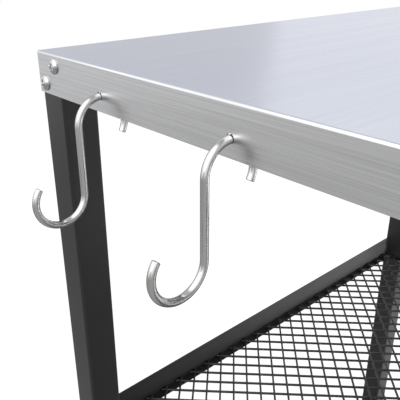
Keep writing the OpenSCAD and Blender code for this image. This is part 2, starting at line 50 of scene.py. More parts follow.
# Camera
# The picture is taken from in front of the middle of the cart, a hand's width above the worktop,
# towards the back left. The focal length is worked out from the vanishing points of the edges.
PHOTO_SIDE = 400
FOCAL_PIXELS = 561.7
VIEW_AZIMUTH = 48.06
VIEW_ELEVATION = 24.14
EYE_FROM_CORNER = Vector((0.4063, -0.1982, 0.0702))

top_low, top_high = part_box("tabletop")
worktop_corner = Vector((top_low.x, top_low.y, top_high.z))
camera = bpy.data.objects.new("camera", bpy.data.cameras.new("camera"))
bpy.context.scene.collection.objects.link(camera)
bpy.context.scene.camera = camera
azimuth, elevation = np.radians([VIEW_AZIMUTH, VIEW_ELEVATION])
ahead = np.cos(elevation)
sight = Vector((-np.sin(azimuth) * ahead, np.cos(azimuth) * ahead, -np.sin(elevation)))
camera.location = worktop_corner + EYE_FROM_CORNER
camera.rotation_euler = sight.to_track_quat("-Z", "Y").to_euler()
camera.data.lens = camera.data.sensor_width * FOCAL_PIXELS / PHOTO_SIDE
camera.data.clip_start = 0.02
camera.data.clip_end = 60
bpy.context.scene.view_settings.view_transform = "Standard"


# Studio
# White paper that fades into a white room, lit by soft boxes behind the cart and at its right, and
# by a gridded one that reaches the shelf. What bright metal mirrors is a pale wall behind the cart,
# hoods at the left and in front, a key light at the right, and painted pools of light on the paper.
def shader_node(tree, kind, inputs=None, **settings):
    """Adds one node to a tree. inputs gives a socket a value or another node's output."""
    made = tree.nodes.new("ShaderNode" + kind)
    for key, value in settings.items():
        setattr(made, key, value)
    for key, value in (inputs or {}).items():
        if isinstance(value, bpy.types.NodeSocket):
            tree.links.new(value, made.inputs[key])
        else:
            made.inputs[key].default_value = value
    return made


def maths(tree, operation, first, second=0.0):
    """The result of one operation on numbers, each a value or another node's output."""
    return shader_node(tree, "Math", {0: first, 1: second}, operation=operation).outputs[0]


def vector_maths(tree, operation, first, second=(0, 0, 0)):
    """The same for vectors. A length, a distance and a dot product are numbers."""
    made = shader_node(tree, "VectorMath", {0: first, 1: second}, operation=operation)
    return made.outputs["Vector" if operation == "MULTIPLY" else "Value"]


def blend(tree, share, first, second, kind="FLOAT"):
    """Runs from first to second, two numbers, vectors or colours, as share runs from 0 to 1."""
    socket, result = {"FLOAT": (2, 0), "VECTOR": (4, 1), "RGBA": (6, 2)}[kind]
    inputs = {0: share, socket: first, socket + 1: second}
    return shader_node(tree, "Mix", inputs, data_type=kind).outputs[result]


def smooth(tree, value, reach, level=(0, 1)):
    """A level that changes smoothly while a value goes through a reach. Both are (from, to)."""
    inputs = {"Value": value, "From Min": reach[0], "From Max": reach[1],
              "To Min": level[0], "To Max": level[1]}
    return shader_node(tree, "MapRange", inputs, interpolation_type="SMOOTHSTEP").outputs[0]


def towards(tree, vector, way, reach, level):
    """A level that changes with the share of a vector that lies along a way."""
    return smooth(tree, vector_maths(tree, "DOT_PRODUCT", vector, way), reach, level)


def near(tree, vector, centre, reach, level):
    """A level that changes with the distance of a vector from a centre."""
    return smooth(tree, vector_maths(tree, "DISTANCE", vector, centre), reach, level)


def seen_directly(tree):
    """1 for rays from the camera, a mirror or glass, and 0 for light that falls on a surface."""
    path = shader_node(tree, "LightPath").outputs
    seen = path["Is Camera Ray"]
    for kind in ("Is Glossy Ray", "Is Transmission Ray"):
        seen = maths(tree, "MAXIMUM", seen, path[kind])
    return seen


room = bpy.data.worlds.new("room")
bpy.context.scene.world = room
room.use_nodes = True
tree = room.node_tree
tree.nodes.clear()
way_out = shader_node(tree, "TexCoord").outputs["Generated"]
# Each lies along a way, and has the reach of its soft edge and its level outside and inside.
back_wall = ((-0.74, 0.67, 0), (-0.05, 0.8), (0.63, 1.0))
left_hood = ((-0.35, -0.75, 0.56), (0.64, 0.8), (0, 0.8))
front_hood = ((0.1, -0.7, 0.7), (0.7, 0.85), (0, 1.5))
key_light = ((0.72, -0.56, 0.42), (0.7, 0.92), (0, 0.75))
mirrored_room = towards(tree, way_out, *back_wall)
for lit in (left_hood, front_hood, key_light):
    mirrored_room = maths(tree, "ADD", mirrored_room, towards(tree, way_out, *lit))
white = 1.0
room_light = 0.43
in_eye = shader_node(tree, "LightPath").outputs["Is Camera Ray"]
shown = blend(tree, in_eye, mirrored_room, white)
strength = blend(tree, seen_directly(tree), room_light, shown)
light = shader_node(tree, "Background", {"Color": (1, 1, 1, 1), "Strength": strength})
shader_node(tree, "OutputWorld", {"Surface": light.outputs[0]})

floor_radius = 4.5
solid_radius = 2.2
paper_grey = 0.4
floor_mesh = bpy.data.meshes.new("floor")
turn = np.linspace(0, 2 * np.pi, 128, endpoint=False)
rim = np.stack([np.cos(turn), np.sin(turn), 0 * turn], 1) * floor_radius
floor_mesh.from_pydata(rim.tolist(), [], [tuple(range(len(rim)))])
floor = bpy.data.objects.new("floor", floor_mesh)
bpy.context.scene.collection.objects.link(floor)
paper = bpy.data.materials.new("floor_paper")
paper.use_nodes = True
tree = paper.node_tree
tree.nodes.clear()
place = shader_node(tree, "TexCoord").outputs["Object"]
fade = smooth(tree, vector_maths(tree, "LENGTH", place), (solid_radius, floor_radius))
lift = towards(tree, place, (-0.45, 0.9, 0), (-0.4, 0.25), (0.45, 0.85))
# Painted pools of light: two patches where the paper glows, seen only in mirrors and glass. No lamp
# lights them.
painted_broad_pool = near(tree, place, (0.85, 1.0, 0), (0.9, 0.45), (0.28, 1.6))
painted_small_pool = near(tree, place, (0.75, 1.4, 0), (0.5, 0.3), (0, 1.6))
in_eye = shader_node(tree, "LightPath").outputs["Is Camera Ray"]
shown = blend(tree, in_eye, maths(tree, "ADD", painted_broad_pool, painted_small_pool), lift)
matt = shader_node(tree, "BsdfDiffuse", {"Color": (paper_grey, paper_grey, paper_grey, 1)})
glow = shader_node(tree, "Emission", {"Color": (1, 1, 1, 1), "Strength": shown})
lifted = shader_node(tree, "AddShader", {0: matt.outputs[0], 1: glow.outputs[0]})
lit_or_seen = {0: seen_directly(tree), 1: matt.outputs[0], 2: lifted.outputs[0]}
sheet = shader_node(tree, "MixShader", lit_or_seen)
clear = shader_node(tree, "BsdfTransparent")
faded = shader_node(tree, "MixShader", {0: fade, 1: sheet.outputs[0], 2: clear.outputs[0]})
shader_node(tree, "OutputMaterial", {"Surface": faded.outputs[0]})
floor.data.materials.append(paper)


def soft_box(name, place, aim, side, power, grid=180, mirrored=False):
    """A square lamp with a side in metres and a power in watts, which looks from place towards aim.

    A honeycomb grid before it narrows its beam to an angle in degrees. Only a mirrored lamp shows
    on bright metal, and none shows to the camera.
    """
    lamp = bpy.data.objects.new(name, bpy.data.lights.new(name, "AREA"))
    lamp.data.shape = "SQUARE"
    lamp.data.size = side
    lamp.data.energy = power
    lamp.data.spread = np.radians(grid)
    lamp.location = place
    lamp.rotation_euler = (Vector(aim) - Vector(place)).to_track_quat("-Z", "Y").to_euler()
    lamp.visible_camera = False
    lamp.visible_glossy = mirrored
    bpy.context.scene.collection.objects.link(lamp)


soft_box("back_box", (-1.2, 2.8, 2.3), (0, 0, 0.8), side=3.0, power=9, mirrored=True)
soft_box("right_box", (2.6, 0.9, 0.8), (0, 0.1, 0.5), side=2.0, power=48)
soft_box("grid_box", (2.0, 0.16, 0.68), (-0.45, 0.38, 0.61), side=0.4, power=5.0, grid=26)


# Worktop
# One sheet of stainless steel, folded down on all four sides and spot welded to two channels of
# galvanised sheet. The top is brushed front to back, the aprons along their length.
def principled(name, **values):
    """A material with one Principled shader. Its constant sockets are named with _ for a space."""
    made = bpy.data.materials.new(name)
    made.use_nodes = True
    made.node_tree.nodes.clear()
    shader = shader_node(made.node_tree, "BsdfPrincipled")
    shader_node(made.node_tree, "OutputMaterial", {"Surface": shader.outputs[0]})
    for label, value in values.items():
        shader.inputs[label.replace("_", " ")].default_value = value
    return made, made.node_tree, shader


def noises(name, layers):
    """A node group of noises over a place that is stretched by a factor along X, Y and Z.

    layers gives each output's scale and detail.
    """
    group = bpy.data.node_groups.new(name, "ShaderNodeTree")
    for label in ("Place", "Stretch"):
        group.interface.new_socket(label, in_out="INPUT", socket_type="NodeSocketVector")
    for label in layers:
        group.interface.new_socket(label, in_out="OUTPUT", socket_type="NodeSocketFloat")
    given = group.nodes.new("NodeGroupInput").outputs
    result = group.nodes.new("NodeGroupOutput").inputs
    place = vector_maths(group, "MULTIPLY", given["Place"], given["Stretch"])
    for label, (scale, detail) in layers.items():
        noise = shader_node(group, "TexNoise", {"Vector": place, "Scale": scale, "Detail": detail})
        group.links.new(noise.outputs[0], result[label])
    return group


def use_noises(tree, group, place, stretch=(1, 1, 1)):
    """Puts a group of noises in a material and returns its outputs."""
    inputs = {"Place": place, "Stretch": stretch}
    return shader_node(tree, "Group", inputs, node_tree=group).outputs


def bump(tree, shader, height, depth):
    """Feeds a height from 0 to 1 to the shader's normal, as relief of a depth in metres."""
    relief = shader_node(tree, "Bump", {"Strength": 1.0, "Distance": depth, "Height": height})
    tree.links.new(relief.outputs[0], shader.inputs["Normal"])


def spread(tree, value, low, high):
    """Maps a value from 0..1 to low..high."""
    return shader_node(tree, "MapRange", {"Value": value, "To Min": low, "To Max": high}).outputs[0]


def shade(tree, value, dark, light):
    """A colour that runs from dark to light as the value runs from 0 to 1."""
    return blend(tree, value, (*dark, 1), (*light, 1), "RGBA")


# Brush lines: fine scratches, and bands nine times as broad. The place is stretched to so many
# scratches side by side, and so many end to end, in each metre.
brush_lines = noises("brush_lines", {"Lines": (1.0, 3.0), "Bands": (0.11, 1.0)})
side_by_side = 1300
end_to_end = 9
apron_facing = 0.7
worktop_steel, tree, shader = principled(
    "worktop_steel", Metallic=1.0, Specular_Tint=(0.75, 0.76, 0.8, 1))
where = shader_node(tree, "TexCoord").outputs
facing = shader_node(tree, "SeparateXYZ", {0: where["Normal"]}).outputs
long_apron = maths(tree, "GREATER_THAN", maths(tree, "ABSOLUTE", facing["Y"]), apron_facing)
along_y = (side_by_side, end_to_end, side_by_side)
along_x = (end_to_end, side_by_side, side_by_side)
stretch = blend(tree, long_apron, along_y, along_x, "VECTOR")
brushed = use_noises(tree, brush_lines, where["Object"], stretch)
# Painted light: the front and back aprons get a lighter, wider tone than the top, and the top a
# bluer one, though both are the same steel. Each face is shaded to how the light falls on it.
top_painted_tone = shade(tree, brushed["Lines"], (0.535, 0.555, 0.615), (0.635, 0.655, 0.715))
apron_painted_tone = shade(tree, brushed["Lines"], (0.51, 0.512, 0.52), (0.83, 0.832, 0.84))
tone = blend(tree, long_apron, top_painted_tone, apron_painted_tone, "RGBA")
tree.links.new(tone, shader.inputs["Base Color"])
tree.links.new(spread(tree, brushed["Bands"], 0.2, 0.31), shader.inputs["Roughness"])
bump(tree, shader, brushed["Lines"], depth=0.0000025)
cad["tabletop"].data.materials[0] = worktop_steel

spangles_per_m = 120.0
channel_steel, tree, shader = principled("galvanised_channel", Metallic=1.0)
where = shader_node(tree, "TexCoord").outputs
spangle = shader_node(tree, "TexVoronoi", {"Vector": where["Object"], "Scale": spangles_per_m})
tone = shade(tree, spangle.outputs["Color"], (0.42, 0.43, 0.44), (0.6, 0.61, 0.62))
tree.links.new(tone, shader.inputs["Base Color"])
tree.links.new(spread(tree, spangle.outputs["Color"], 0.32, 0.5), shader.inputs["Roughness"])
for name in ("stiffener_left", "stiffener_right"):
    cad[name].data.materials[0] = channel_steel


# Hooks
# S-hooks bent cold from 5 mm bright drawn wire, cut square with the burr taken off. Each hangs
# with its upper bow through a hole in the front apron.
def arc(centre, radius, start, end, steps):
    """Points on a circle arc in a plane, from one angle to another, in degrees."""
    angle = np.radians(np.linspace(start, end, steps))
    return np.stack([centre[0] + radius * np.cos(angle), centre[1] + radius * np.sin(angle)], 1)


def ring_faces(rings, sides):
    """Quads between successive closed rings of points, and an end face at each end."""
    i, j = np.meshgrid(np.arange(rings - 1), np.arange(sides), indexing="ij")
    k = (j + 1) % sides
    quads = np.stack([i * sides + j, i * sides + k, (i + 1) * sides + k, (i + 1) * sides + j], -1)
    last = (rings - 1) * sides
    return [quads.reshape(-1, 4), np.arange(sides)[None, ::-1], last + np.arange(sides)[None]]


def sweep(path, side, profile):
    """A closed shell that carries a profile along a flat path.

    path is (n, 3), side is the unit vector square to its plane, and profile is (m, 2) or
    (n, m, 2): each point is path + profile_x * side + profile_y * (tangent x side).
    """
    path = np.asarray(path, float)
    tangent = np.gradient(path, axis=0)
    tangent /= np.linalg.norm(tangent, axis=1, keepdims=True)
    out = np.cross(tangent, side)
    profile = np.broadcast_to(profile, (len(path), *np.shape(profile)[-2:]))
    sideways = profile[..., :1] * np.asarray(side, float)
    points = path[:, None] + sideways + profile[..., 1:] * out[:, None]
    return points.reshape(-1, 3), ring_faces(*points.shape[:2])


def piece(name, shells, material, body, replaces, follow=None):
    """Puts closed shells, each a pair of points and face arrays, in one mesh that rides on a body.

    Edges stay sharp above the crease angle. follow is an (n, 3) attribute for a pattern that
    follows the surface.
    """
    crease = np.radians(32)
    starts = np.cumsum([0] + [len(points) for points, faces in shells])
    listed = [
        face for start, (points, faces) in zip(starts, shells)
        for array in faces for face in (array + start).tolist()
    ]
    mesh = bpy.data.meshes.new(name)
    mesh.from_pydata(np.concatenate([points for points, faces in shells]).tolist(), [], listed)
    shape = bmesh.new()
    shape.from_mesh(mesh)
    bmesh.ops.recalc_face_normals(shape, faces=shape.faces)
    shape.to_mesh(mesh)
    shape.free()
    mesh.polygons.foreach_set("use_smooth", np.ones(len(mesh.polygons), bool))
    mesh.set_sharp_from_angle(angle=crease)
    if follow is not None:
        kept = mesh.attributes.new("follow", "FLOAT_VECTOR", "POINT")
        kept.data.foreach_set("vector", follow.ravel())
    made = bpy.data.objects.new(name, mesh)
    bpy.context.scene.collection.objects.link(made)
    mesh.materials.append(material)
    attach(made, body)
    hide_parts(*replaces)


def wire_hook(node):
    """The shell of a hook along the middle line of its CAD solid, and each point's place on it.

    The line is an upper and a lower half circle, each run on past its half by some degrees. The
    ends are drawn in by the burr.
    """
    bow_r = 0.0183
    upper_past, lower_past = 31, 38
    burr = 0.0004
    steps, sides = 60, 28
    low, high = (np.array(corner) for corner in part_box(node))
    wire_r = (high[0] - low[0]) / 2
    upper = (high[1] - bow_r - wire_r, high[2] - wire_r - bow_r)
    lower = (low[1] + bow_r + wire_r, low[2] + wire_r + bow_r)
    line = np.concatenate([
        arc(upper, bow_r, -upper_past, 180, steps), arc(lower, bow_r, 0, -180 - lower_past, steps),
    ])
    nick = np.degrees(burr / bow_r)
    line = np.insert(line, 1, arc(upper, bow_r, nick - upper_past, 0, 2)[0], axis=0)
    line = np.insert(line, -1, arc(lower, bow_r, nick - 180 - lower_past, 0, 2)[0], axis=0)
    path = np.insert(line, 0, (low[0] + high[0]) / 2, axis=1)
    turn = np.linspace(0, 2 * np.pi, sides, endpoint=False)
    circle = np.stack([np.cos(turn), np.sin(turn)], 1)
    radius = np.full((len(path), 1, 1), wire_r)
    radius[[0, -1]] -= burr
    along = np.append(0, np.cumsum(np.linalg.norm(np.diff(path, axis=0), axis=1)))
    follow = np.concatenate([
        np.broadcast_to(along[:, None, None], (len(path), sides, 1)),
        np.broadcast_to(circle * wire_r, (len(path), sides, 2)),
    ], 2)
    return sweep(path, (1, 0, 0), circle * radius), follow.reshape(-1, 3)


lines_along, lines_across = 6, 800
hook_steel, tree, shader = principled(
    "hook_steel", Metallic=1.0, Specular_Tint=(0.6, 0.6, 0.6, 1))
on_wire = shader_node(tree, "Attribute", attribute_name="follow").outputs["Vector"]
drawn = use_noises(tree, brush_lines, on_wire, (lines_along, lines_across, lines_across))
tone = shade(tree, drawn["Lines"], (0.36, 0.36, 0.355), (0.74, 0.74, 0.73))
tree.links.new(tone, shader.inputs["Base Color"])
tree.links.new(spread(tree, drawn["Bands"], 0.1, 0.2), shader.inputs["Roughness"])
bump(tree, shader, drawn["Lines"], depth=0.000001)
for number in (1, 2, 3, 4):
    name = "hook_%d" % number
    shell, follow = wire_hook(name)
    piece(name + "_wire", [shell], hook_steel, name, [name], follow=follow)


# Legs
# Square steel tube, welded seam inside, with a satin black powder coat; a black plastic plug in
# the lower end takes the stem of the caster.
coat_grain = noises("coat_grain", {"Grain": (900.0, 2.0), "Cloud": (14.0, 4.0)})


def coated(name, dark, light, rough, relief=0.00002):
    """A painted or moulded surface: fine orange peel, and a slow change of tone and gloss."""
    gloss_change = 0.05
    made, tree, shader = principled(name, Metallic=0.0, IOR=1.42, Specular_IOR_Level=0.5)
    skin = use_noises(tree, coat_grain, shader_node(tree, "TexCoord").outputs["Object"])
    tree.links.new(shade(tree, skin["Cloud"], dark, light), shader.inputs["Base Color"])
    gloss = spread(tree, skin["Cloud"], rough - gloss_change, rough + gloss_change)
    tree.links.new(gloss, shader.inputs["Roughness"])
    bump(tree, shader, skin["Grain"], relief)
    return made


black_coat = coated("black_coat", (0.028, 0.028, 0.028), (0.034, 0.034, 0.034), rough=0.3)
plug_plastic = coated("insert_plastic", (0.014, 0.014, 0.015), (0.02, 0.02, 0.021), rough=0.5)
for corner in corners:
    cad["leg_" + corner].data.materials[0] = black_coat
cad["leg_inserts"].data.materials[0] = plug_plastic


# Screws
# Cross-recess pan screws, 5 mm, cold headed and thread rolled: bright chrome in the aprons and the
# handle plates, dark zinc in the shelf brackets. Each drives into a nut welded inside the leg.
origin = np.array([worktop_corner.x, worktop_corner.y, 0.0])
table_size = np.array([top_high.x - top_low.x, top_high.y - top_low.y, 0.0])
table_h = top_high.z
leg_inset = 0.00135
leg_w = 0.03
leg_inner = leg_inset + leg_w
leg_mid = leg_inset + leg_w / 2
rng = np.random.default_rng(7)


def turned(points, out, place):
    """Points drawn about +Z, set down at place with +Z along out, which is level, and +Y up."""
    up, out = np.array([0.0, 0.0, 1.0]), np.asarray(out, float)
    return points @ np.stack([np.cross(up, out), up, out]) + place


def screw_head(turn):
    """The head on a square grid that is drawn out to a disc towards its rim.

    The height is a sphere cap, less the deeper of two crossed slots whose walls slope inwards.
    """
    radius = 0.0058
    height = 0.0031
    rim = 0.0008
    core = 0.55
    slot_half, slot_reach, slot_depth = 0.00075, 0.0031, 0.0017
    side_run, end_run = 0.0003, 0.0016
    half_mm = np.array([0.0, 0.3, 0.55, 0.8, 1.3, 1.9, 2.6, 3.15, 3.7, 4.3, 4.9, 5.4, 5.8])
    half = half_mm / half_mm[-1]
    line = np.concatenate([-half[:0:-1], half])
    u, v = np.meshgrid(line, line, indexing="ij")
    square = np.maximum(abs(u), abs(v))
    reach = np.maximum(np.hypot(u, v), 1e-9)
    bend = np.clip((square - core) / (1 - core), 0, 1)
    bend = bend * bend * (3 - 2 * bend)
    scale = radius * (1 - bend + bend * square / reach)
    x, y = u * scale, v * scale
    cap_r = (radius ** 2 + (height - rim) ** 2) / (2 * (height - rim))
    z = height - cap_r + np.sqrt(cap_r ** 2 - x ** 2 - y ** 2)
    arms = [
        np.clip((slot_half - abs(b)) / side_run, 0, 1)
        * np.clip((slot_reach - abs(a)) / end_run, 0, 1)
        for a, b in ((x, y), (y, x))
    ]
    z = z - slot_depth * np.maximum(*arms)
    n = len(line)
    grid = np.arange(n * n).reshape(n, n)
    quads = np.stack([grid[:-1, :-1], grid[1:, :-1], grid[1:, 1:], grid[:-1, 1:]], -1)
    edge = np.concatenate([grid[:, 0], grid[-1, 1:], grid[-2::-1, -1], grid[0, -2:0:-1]])
    top = np.stack([x, y, z], -1).reshape(-1, 3)
    skirt_rings = ((1, rim - 0.0002), (1, 0.00015), (0.97, 0), (0.4, 0))
    rings = [top[edge] * (share, share, 0) + (0, 0, level) for share, level in skirt_rings]
    m = len(edge)
    ids = np.concatenate([edge, n * n + np.arange(4 * m)]).reshape(5, m)
    onward = np.roll(ids, -1, 1)
    skirt = np.stack([ids[:-1], onward[:-1], onward[1:], ids[1:]], -1)
    points = np.concatenate([top, *rings])
    c, s = np.cos(turn), np.sin(turn)
    faces = [quads.reshape(-1, 4), skirt.reshape(-1, 4), ids[-1][None]]
    return points @ np.array([[c, s, 0], [-s, c, 0], [0, 0, 1]]), faces


def thread(radius, start, end, pitch=0.0008, depth=0.0003, sides=18):
    """A rolled thread along Z: the radius swings by depth, and the crest climbs a pitch a turn."""
    rings_per_pitch = 4
    turn = np.linspace(0, 2 * np.pi, sides, endpoint=False)
    z = np.linspace(start, end, int(abs(end - start) / pitch * rings_per_pitch) + 2)
    phase = (z[:, None] / pitch - turn / (2 * np.pi)) % 1
    r = radius - 2 * depth * abs(phase - 0.5)
    r[0] = r[-1] = radius - depth
    points = np.stack([r * np.cos(turn), r * np.sin(turn), z[:, None] + 0 * r], -1)
    return points.reshape(-1, 3), ring_faces(len(z), sides)


def screw_shells(place, out, length):
    """A screw with its seat at place, as a head and a threaded shank that runs up into the head."""
    head, faces = screw_head(rng.uniform(0, np.pi / 2))
    shank, shank_faces = thread(radius=0.0025, start=0.0006, end=-length)
    return [(turned(head, out, place), faces), (turned(shank, out, place), shank_faces)]


def in_corner(corner, point, direction=(0, 0, 0)):
    """A point and a direction drawn for the front left corner, mirrored to another corner."""
    flip = np.array([-1 if "right" in corner else 1, -1 if "back" in corner else 1, 1])
    base = origin + np.where(flip < 0, table_size, 0)
    return base + flip * np.asarray(point), flip * np.asarray(direction)


def steel_finish(name, dark, light, rough):
    """A plated metal: a slow change of tone, and a fine grain in its relief and roughness."""
    made, tree, shader = principled(name, Metallic=1.0)
    skin = use_noises(tree, coat_grain, shader_node(tree, "TexCoord").outputs["Object"])
    tree.links.new(shade(tree, skin["Cloud"], dark, light), shader.inputs["Base Color"])
    tree.links.new(spread(tree, skin["Grain"], *rough), shader.inputs["Roughness"])
    bump(tree, shader, skin["Grain"], depth=0.000006)
    return made


screw_chrome = steel_finish(
    "screw_chrome", (0.42, 0.42, 0.43), (0.54, 0.54, 0.55), rough=(0.12, 0.24))
dark_zinc = steel_finish(
    "dark_zinc", (0.2, 0.2, 0.21), (0.3, 0.3, 0.31), rough=(0.3, 0.42))
plain_zinc = steel_finish(
    "plain_zinc", (0.44, 0.45, 0.47), (0.58, 0.59, 0.61), rough=(0.24, 0.38))
apron_spots = ((0.02515, 0.009), (0.01, 0.0234))
shells = []
for corner in corners:
    for x, drop in apron_spots:
        place, out = in_corner(corner, (x, 0, table_h - drop), (0, -1, 0))
        shells += screw_shells(place, out, length=0.00885)
piece("apron_screws_bright", shells, screw_chrome, "cart", ["apron_screws"])

rim_bottoms = {"upper": 0.504, "lower": 0.138}
rail_h = 0.03
bracket_t = 0.002
bracket_face = leg_inner + bracket_t
bracket_screw_drop = 0.012
bracket_screw_ys = (0.00935, 0.02195)
shells = []
for corner in corners:
    for rim_bottom in rim_bottoms.values():
        for y in bracket_screw_ys:
            z = rim_bottom + rail_h - bracket_screw_drop
            place, out = in_corner(corner, (bracket_face, y, z), (1, 0, 0))
            shells += screw_shells(place, out, length=0.0095)
piece("shelf_screws_dark", shells, dark_zinc, "cart", ["shelf_screws"])

handle_z = 0.827
handle_plate_t = 0.003
handle_screw_rise = 0.022
shells = []
for corner in ("front_right", "back_right"):
    for rise in (-handle_screw_rise, handle_screw_rise):
        seat = (leg_inset - handle_plate_t, leg_mid, handle_z + rise)
        place, out = in_corner(corner, seat, (-1, 0, 0))
        shells += screw_shells(place, out, length=0.0105)
piece("handle_screws_bright", shells, screw_chrome, "cart", ["handle_screws"])
for name in ("apron_nuts", "shelf_nuts", "handle_nuts"):
    cad[name].data.materials[0] = plain_zinc


# Shelf frames
# Angle rails bent from 1.5 mm steel strip. The long ones end on a bracket plate, which two screws
# hold to the leg; small corner plates join them to the short ones. Seam welded, then powder coated.
def plate(outline, low, high, edge=0.0004):
    """A flat plate over an outline of (n, 2) points, from low to high in Z, with rounded edges.

    Each ring is the outline, drawn in along the mean normal of its two neighbouring sides.
    """
    sharpest = 0.4
    outline = np.asarray(outline, float)
    after = np.roll(outline, -1, 0)
    sides = (after - outline) / np.linalg.norm(after - outline, axis=1, keepdims=True)
    normals = np.stack([-sides[:, 1], sides[:, 0]], 1)
    inward = normals + np.roll(normals, 1, 0)
    inward /= np.maximum(1 + (normals * np.roll(normals, 1, 0)).sum(1, keepdims=True), sharpest)
    inward *= np.sign((outline[:, 0] * after[:, 1] - outline[:, 1] * after[:, 0]).sum())
    levels = ((1, low), (0.3, low + 0.3 * edge), (0, low + edge),
              (0, high - edge), (0.3, high - 0.3 * edge), (1, high))
    rings = [np.insert(outline + share * edge * inward, 2, z, axis=1) for share, z in levels]
    return np.concatenate(rings), ring_faces(len(levels), len(outline))


def rounded(points, radii, steps=6):
    """An outline through corner points, each rounded with its radius."""
    points = np.asarray(points, float)
    neighbours = np.roll(points, 1, 0), points, np.roll(points, -1, 0)
    out = []
    for before, corner, after, radius in zip(*neighbours, radii):
        if radius == 0:
            out.append(corner[None])
            continue
        a = (before - corner) / np.linalg.norm(before - corner)
        b = (after - corner) / np.linalg.norm(after - corner)
        half_angle = np.arccos(np.clip(a @ b, -1, 1)) / 2
        middle = corner + (a + b) / np.linalg.norm(a + b) * radius / np.sin(half_angle)
        first = corner + a * radius / np.tan(half_angle) - middle
        last = corner + b * radius / np.tan(half_angle) - middle
        start = np.arctan2(first[1], first[0])
        swing = (np.arctan2(last[1], last[0]) - start + np.pi) % (2 * np.pi) - np.pi
        angle = start + swing * np.linspace(0, 1, steps)
        out.append(middle + radius * np.stack([np.cos(angle), np.sin(angle)], 1))
    return np.concatenate(out)


def bead(start, end, radius=0.0013, pitch=0.0018, sides=10):
    """A weld bead: a round rod along a line whose radius rises and falls once in each pitch."""
    swell = 0.1
    rings_per_pitch = 6
    start, run = np.asarray(start, float), np.subtract(end, start)
    length = np.linalg.norm(run)
    s = np.linspace(0, 1, max(int(length / pitch * rings_per_pitch), 8))
    r = radius * (1 + swell * np.cos(2 * np.pi * s * length / pitch))
    r *= np.clip(np.minimum(s, 1 - s) * length / radius, 0.15, 1) ** 0.5
    turn = np.linspace(0, 2 * np.pi, sides, endpoint=False)
    circle = np.stack([np.cos(turn), np.sin(turn)], 1)
    side = np.cross(run, (0, 0, 1)) if abs(run[2]) < 0.5 * length else np.array((1.0, 0, 0))
    profile = circle * r[:, None, None]
    return sweep(start + s[:, None] * run, side / np.linalg.norm(side), profile)


def mirrored(shell, corner):
    """A shell drawn for the front left corner, mirrored to another corner."""
    points, faces = shell
    return in_corner(corner, points)[0], faces


rail_t = 0.0015
ledge_w = 0.0115
overlap = 0.0002
corner_reach = bracket_face + 0.004
inside = leg_inset + rail_t
angle = rounded(
    [(0, 0), (ledge_w, 0), (ledge_w, rail_t), (rail_t, rail_t), (rail_t, rail_h), (0, rail_h)],
    [0.0021, 0.0006, 0.0006, 0.0006, 0.0006, 0.0006],
)
bracket = rounded(
    [(leg_inner, leg_inset), (bracket_face, leg_inset), (bracket_face, leg_inner),
     (leg_inner, leg_inner)],
    [0.0003, 0.0003, 0.0008, 0.0003],
)
lap = leg_inset + ledge_w - overlap
tongue = rounded(
    [(leg_inner, lap), (corner_reach, lap), (corner_reach, corner_reach), (lap, corner_reach),
     (lap, leg_inner), (leg_inner, leg_inner)],
    [0, 0.0006, 0.003, 0.0006, 0, 0],
)
tongue_gap = 0.0001
seam_y = leg_inner + 0.0004
bead_inset = 0.002
for shelf, rim_bottom in rim_bottoms.items():
    shells = []
    for corner in ("front_left", "back_right"):
        for axis, start in ((0, bracket_face - overlap), (1, leg_inner)):
            rings = np.zeros((2, len(angle), 3))
            rings[..., axis] = np.array([[start], [table_size[axis] - start]])
            rings[..., 1 - axis] = leg_inset + angle[:, 0]
            rings[..., 2] = rim_bottom + angle[:, 1]
            rail = rings.reshape(-1, 3), ring_faces(2, len(angle))
            shells.append(mirrored(rail, corner))
    ledge_z = rim_bottom + rail_t
    low, high = rim_bottom + 0.006, rim_bottom + rail_h - 0.004
    first_y, last_y = inside + bead_inset, leg_inner - bead_inset
    beads = (
        ((bracket_face, inside, low), (bracket_face, inside, high)),
        ((bracket_face, first_y, ledge_z), (bracket_face, last_y, ledge_z)),
        ((inside, seam_y, low), (inside, seam_y, high)),
    )
    corner_shells = [
        plate(bracket, rim_bottom, rim_bottom + rail_h),
        plate(tongue, rim_bottom + tongue_gap, ledge_z - tongue_gap, edge=0.0003),
        *(bead(*ends) for ends in beads),
    ]
    shells += [mirrored(shell, corner) for corner in corners for shell in corner_shells]
    node = shelf + "_shelf_frame"
    piece(shelf + "_shelf_rails", shells, black_coat, "cart", [node])


# Shelf meshes
# Steel strands, a little taller than wide, pressed into one layer at 45 degrees and welded where
# they cross. The net is cut to size with its ends open, notched round the brackets, and lies on the
# ledges of its frame.
def net_stretches(offset, along, across, half, notch):
    """The stretches of one strand line inside the notched rectangle, as pairs of distances."""
    stops = np.sort([(sign * reach - offset * across[k]) / along[k]
                     for k in (0, 1) for reach in (half[k], half[k] - notch) for sign in (-1, 1)])
    middles = offset * across + (stops[:-1] + stops[1:])[:, None] / 2 * along
    inside = np.all(abs(middles) < half, 1) & ~np.all(abs(middles) > half - notch, 1)
    turns = np.flatnonzero(np.diff(np.concatenate([[0], inside, [0]]).astype(int)))
    return stops[turns].reshape(-1, 2)


def strand(start, end, z, width, height):
    """A strand from start to end: an eight-sided section whose ends a shear has drawn in."""
    chamfer = 0.0005
    sheared = 0.0003
    end_scale = 0.8
    length = np.linalg.norm(end - start)
    along = (end - start) / length
    x, y = width / 2, height / 2
    section = np.array([(x, chamfer - y), (x, y - chamfer), (x - chamfer, y), (chamfer - x, y),
                        (-x, y - chamfer), (-x, chamfer - y), (chamfer - x, -y), (x - chamfer, -y)])
    s = np.array([0, sheared, length / 2, length - sheared, length])
    shrink = np.array([end_scale, 1, 1, 1, end_scale])[:, None, None]
    path = np.insert(start + s[:, None] * along, 2, z + height / 2, axis=1)
    return sweep(path, (along[1], -along[0], 0), section * shrink)


